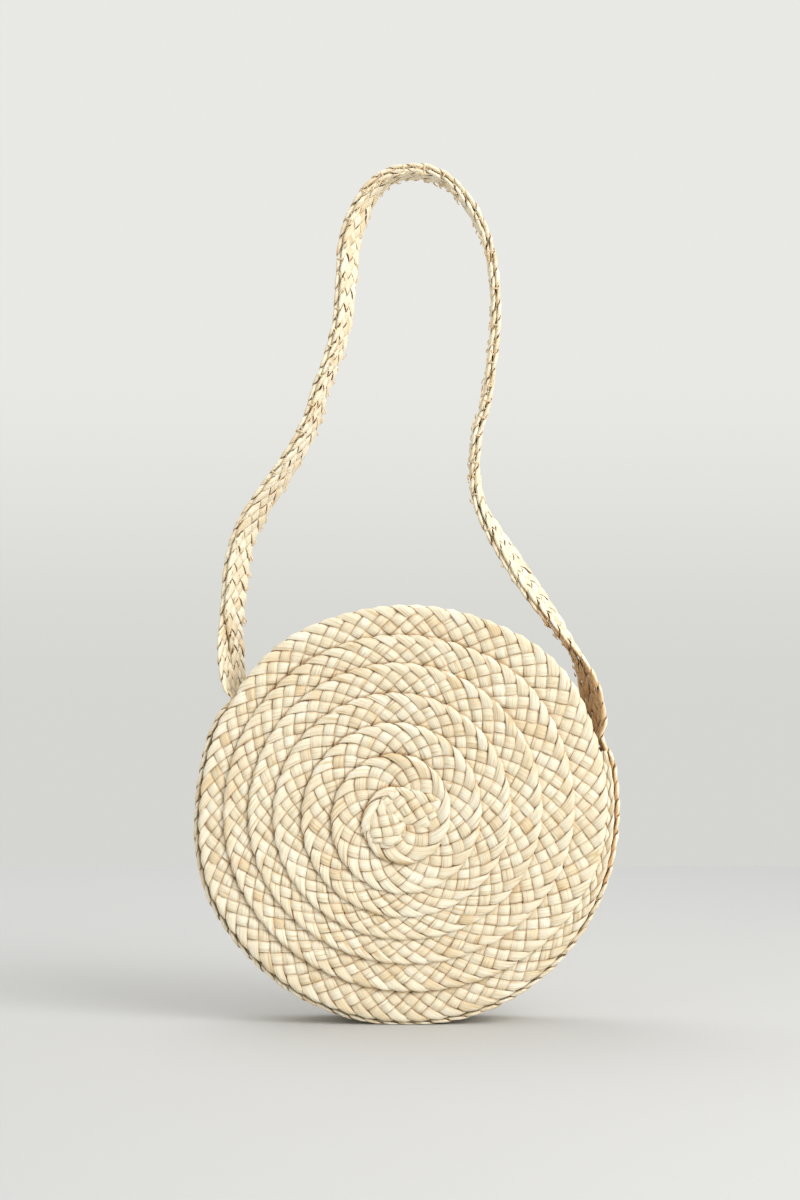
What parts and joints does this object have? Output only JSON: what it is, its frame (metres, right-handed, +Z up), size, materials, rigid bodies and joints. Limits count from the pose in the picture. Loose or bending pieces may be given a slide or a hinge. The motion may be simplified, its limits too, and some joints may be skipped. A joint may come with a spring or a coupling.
{
  "type": "round shoulder bag",
  "caption": "Round flat shoulder bag of plaited husk, with spiral panels, a plaited gusset, an open mouth and a long plaited strap.",
  "frame": {"origin": "middle of the bag's foot, on the surface that it stands on", "axes": "+Z up through the strap, +X to the right and -Y out of the front panel"},
  "size_m": [0.3, 0.0574, 0.6151],
  "materials": {
    "panel_husk": "satin plaited husk",
    "plait_husk": "satin plaited husk",
    "thread": "dull twisted thread"
  },
  "bodies": {
    "bag": {"front_panel": "panel_husk", "back_panel": "panel_husk", "gusset_front_plait": "plait_husk", "gusset_back_plait": "plait_husk", "strap_root_left_outer": "plait_husk", "strap_root_left_inner": "plait_husk", "strap_root_right_outer": "plait_husk", "strap_root_right_inner": "plait_husk", "front_row_thread": "thread", "back_row_thread": "thread", "front_rim_thread": "thread", "back_rim_thread": "thread", "gusset_seam_thread": "thread"},
    "strap": {"strap_outer_plait": "plait_husk", "strap_inner_plait": "plait_husk", "strap_edge_thread": "thread"},
    "front_lip": {"front_lip": "panel_husk", "front_lip_thread": "thread"},
    "back_lip": {"back_lip": "panel_husk", "back_lip_thread": "thread"}
  },
  "joints": [
    {"name": "strap_swing", "type": "hinge", "parent": "bag", "child": "strap", "pos_m": [0, 0, 0.3235], "axis": [1, 0, 0], "range_deg": [-105, 105]},
    {"name": "front_lip_open", "type": "hinge", "parent": "bag", "child": "front_lip", "pos_m": [0.00736, -0.0287, 0.21854], "axis": [0.9945, 0, -0.1045], "range_deg": [0, 25], "stiffness_Nm_per_rad": 0.5},
    {"name": "back_lip_open", "type": "hinge", "parent": "bag", "child": "back_lip", "pos_m": [0.00736, 0.0287, 0.21854], "axis": [-0.9945, 0, 0.1045], "range_deg": [0, 25], "stiffness_Nm_per_rad": 0.5}
  ]
}
